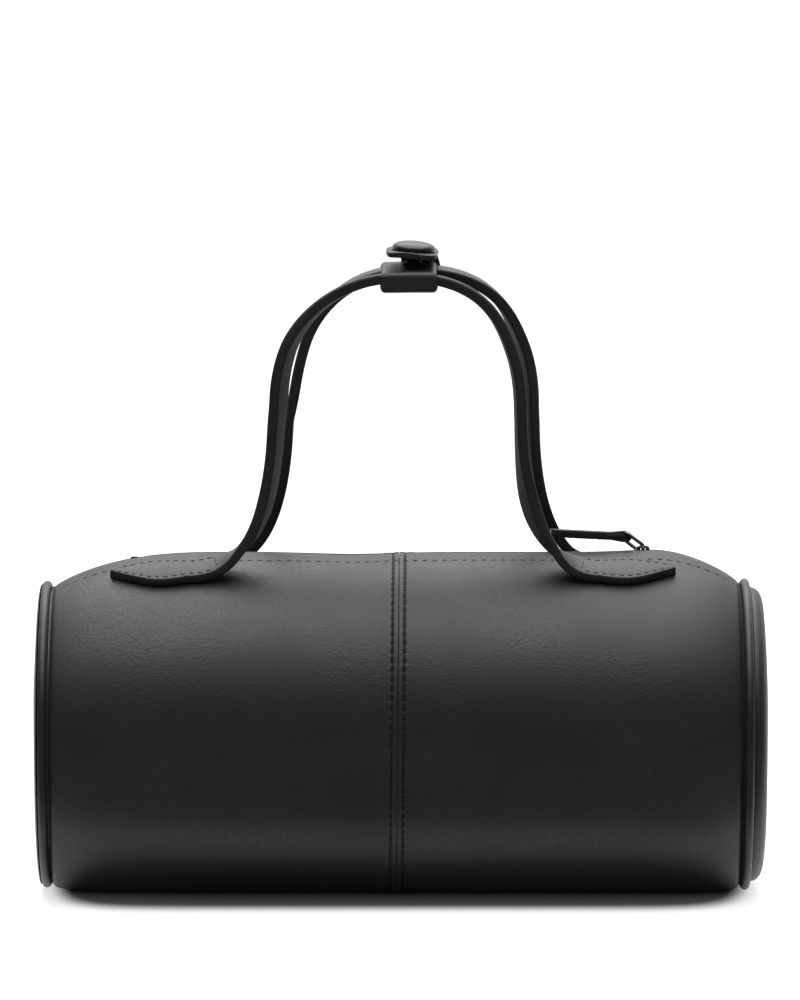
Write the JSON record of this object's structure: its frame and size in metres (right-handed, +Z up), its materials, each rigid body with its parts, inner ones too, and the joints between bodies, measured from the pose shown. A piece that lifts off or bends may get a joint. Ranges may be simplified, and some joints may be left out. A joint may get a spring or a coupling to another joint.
{
  "type": "top handle bag",
  "caption": "Small black leather barrel bag with two short top handles held by a snapped keeper, piped round ends and a top zip with a leather pull.",
  "frame": {"origin": "centre of the bag's footprint on the surface it stands on", "axes": "+X along the barrel toward the end the closed zip's slider is at, -Y out of the front with the stitched centre seam, +Z up"},
  "size_m": [0.254, 0.1196, 0.2271],
  "materials": {
    "body_leather": "soft black leather with a fine smooth pebble grain and a low satin sheen",
    "strap_leather": "smooth black leather, doubled, stitched near its edges, with painted satin edges",
    "piping_leather": "thin black leather pulled tight over a cord, slightly shinier than the panels",
    "tape_cloth": "black woven zip and seam tape, matt",
    "lining_cloth": "black twill lining, matt",
    "stiffener_board": "grey pressed fibre board, hidden",
    "zip_metal": "dark nickel, polished on the slider and the link",
    "snap_metal": "black enamelled snap cap, socket and stud with a soft shine"
  },
  "bodies": {
    "bag": {"body_panel_left": "body_leather", "body_panel_right": "body_leather", "center_seam_tape": "tape_cloth", "body_stiffener": "stiffener_board", "lining_body": "lining_cloth", "lining_end_left": "lining_cloth", "lining_end_right": "lining_cloth", "end_panel_left": "body_leather", "end_panel_right": "body_leather", "end_board_left": "stiffener_board", "end_board_right": "stiffener_board", "piping_left": "piping_leather", "piping_right": "piping_leather", "zip_tape_front": "tape_cloth", "zip_tape_back": "tape_cloth", "zip_teeth_front": "zip_metal", "zip_teeth_back": "zip_metal", "zip_bottom_stop": "zip_metal", "zip_top_stop_front": "zip_metal", "zip_top_stop_back": "zip_metal", "zip_end_cover_left": "body_leather", "zip_end_cover_right": "body_leather", "handle_front_tab_left": "strap_leather", "handle_front_tab_right": "strap_leather", "handle_back_tab_left": "strap_leather", "handle_back_tab_right": "strap_leather"},
    "handles": {"handle_front_strap": "strap_leather", "handle_back_strap": "strap_leather", "keeper_band": "strap_leather", "snap_stud": "snap_metal"},
    "flap": {"keeper_flap": "strap_leather", "snap_cap": "snap_metal", "snap_socket": "snap_metal"},
    "slider": {"zip_slider": "zip_metal"},
    "link": {"zip_pull_link": "zip_metal"},
    "pull": {"zip_pull_tab": "strap_leather"}
  },
  "joints": [
    {"name": "handle_sway", "type": "hinge", "parent": "bag", "child": "handles", "pos_m": [0, 0.0045, 0.119], "axis": [1, 0, 0], "range_deg": [-24, 24], "stiffness_Nm_per_rad": 0.1, "deforming": ["handle_front_tab_left", "handle_front_tab_right", "handle_back_tab_left", "handle_back_tab_right"]},
    {"name": "keeper_flap_lift", "type": "hinge", "parent": "handles", "child": "flap", "pos_m": [0.00366, 0.0155, 0.21728], "axis": [-0.9976, 0, 0.0698], "range_deg": [0, 150]},
    {"name": "zip_slide", "type": "slide", "parent": "bag", "child": "slider", "axis": [1, 0, 0], "range_m": [-0.169, 0]},
    {"name": "link_turn", "type": "hinge", "parent": "slider", "child": "link", "pos_m": [0.0849, 0.00633, 0.11812], "axis": [0, 0.9945, -0.1045], "range_deg": [-5, 110]},
    {"name": "pull_turn", "type": "hinge", "parent": "link", "child": "pull", "pos_m": [0.07891, 0.0068, 0.12261], "axis": [0, 0.9945, -0.1045], "range_deg": [-8, 60]}
  ]
}
